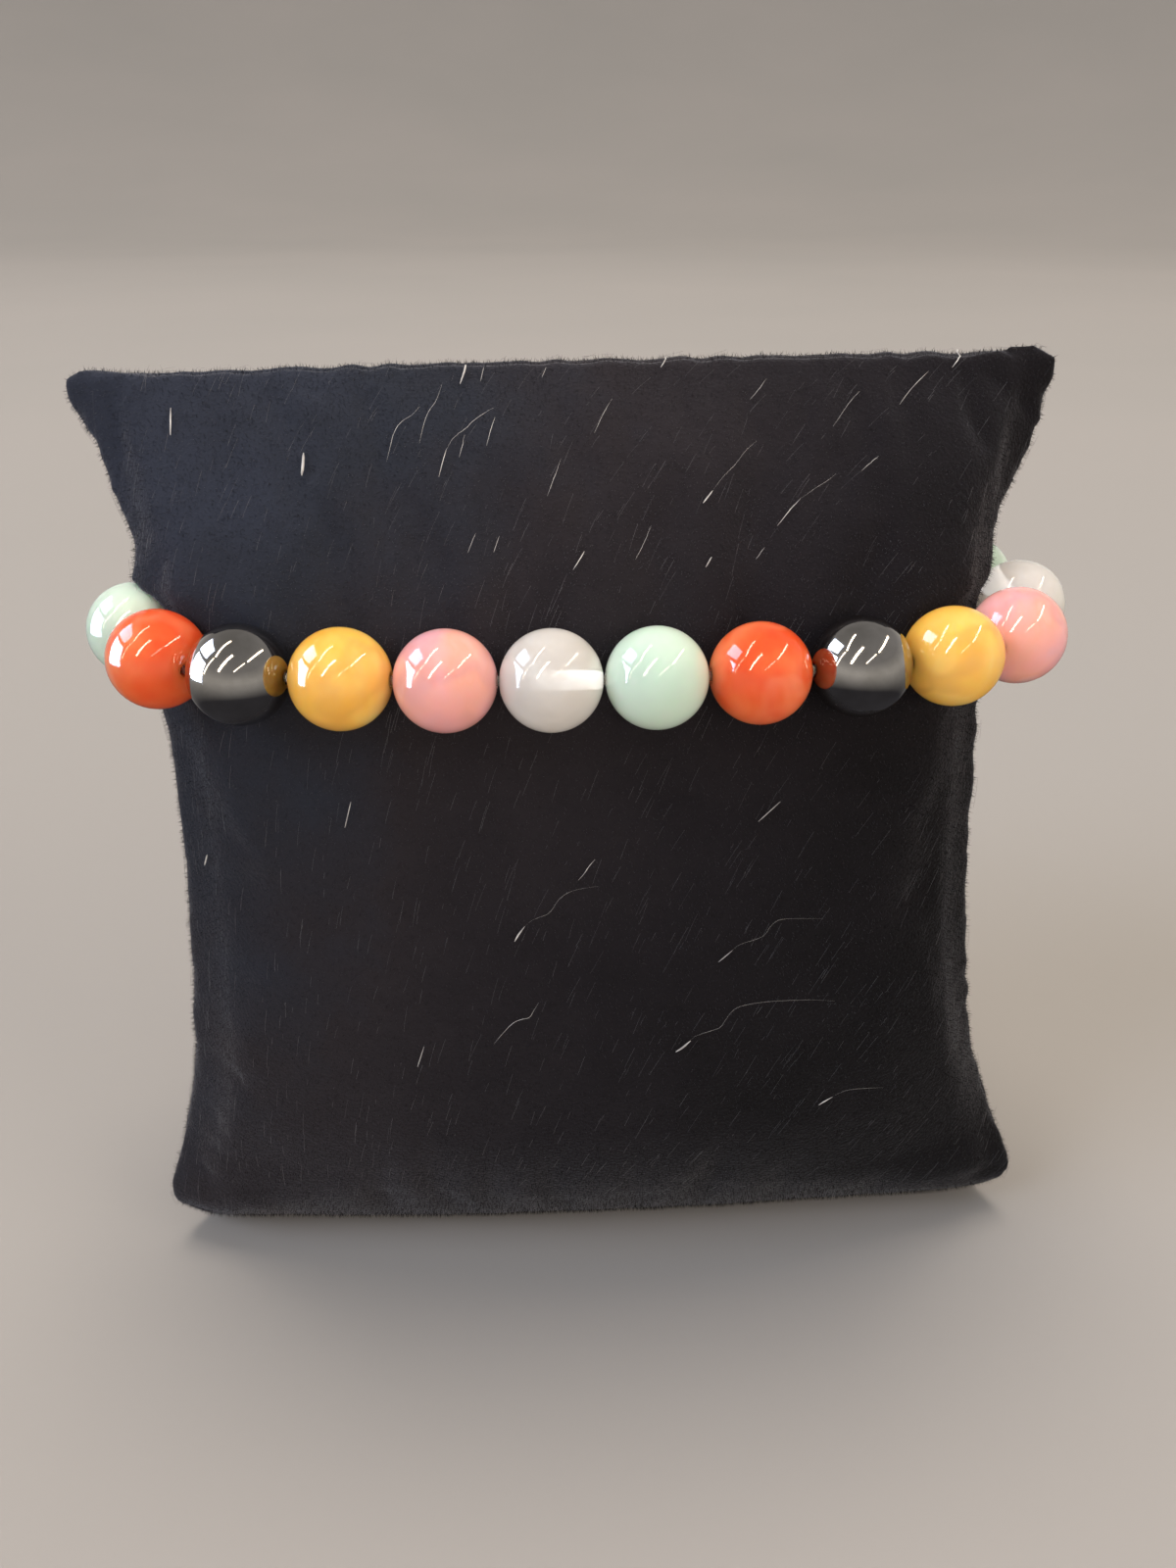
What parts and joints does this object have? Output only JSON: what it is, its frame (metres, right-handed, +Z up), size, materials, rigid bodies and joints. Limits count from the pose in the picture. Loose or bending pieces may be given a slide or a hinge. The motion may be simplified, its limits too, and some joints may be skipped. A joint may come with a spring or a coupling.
{
  "type": "beaded bracelet on a display pillow",
  "caption": "Stretch bracelet of round polished stone beads in repeating colours, worn round the waist of a small black velvet display pillow.",
  "frame": {"origin": "on the floor under the middle of the whole object's box, 0.6 mm to the left of the loop's middle", "axes": "+Z up, -Y towards the viewer who looks at the pillow's front, +X to that viewer's right, along the bracelet's long side"},
  "size_m": [0.0868, 0.0522, 0.0861],
  "materials": {
    "clear_quartz": "polished",
    "green_aventurine": "polished",
    "red_carnelian": "polished",
    "hematite": "polished",
    "yellow_jade": "polished",
    "pink_rhodonite": "polished",
    "elastic": "gloss",
    "black_velvet": "matte"
  },
  "bodies": {
    "root": {"bead_01": "clear_quartz", "bead_02": "green_aventurine", "bead_03": "red_carnelian", "bead_04": "hematite", "bead_05": "yellow_jade", "bead_06": "pink_rhodonite", "bead_07": "clear_quartz", "bead_08": "green_aventurine", "bead_09": "red_carnelian", "bead_10": "hematite", "bead_11": "yellow_jade", "bead_12": "pink_rhodonite", "bead_13": "clear_quartz", "bead_14": "green_aventurine", "bead_15": "red_carnelian", "bead_16": "hematite", "bead_17": "yellow_jade", "bead_18": "pink_rhodonite", "bead_19": "clear_quartz", "bead_20": "green_aventurine", "bead_21": "red_carnelian", "bead_22": "hematite", "bead_23": "yellow_jade", "bead_24": "pink_rhodonite", "elastic_cord": "elastic", "pillow": "black_velvet"}
  },
  "joints": []
}
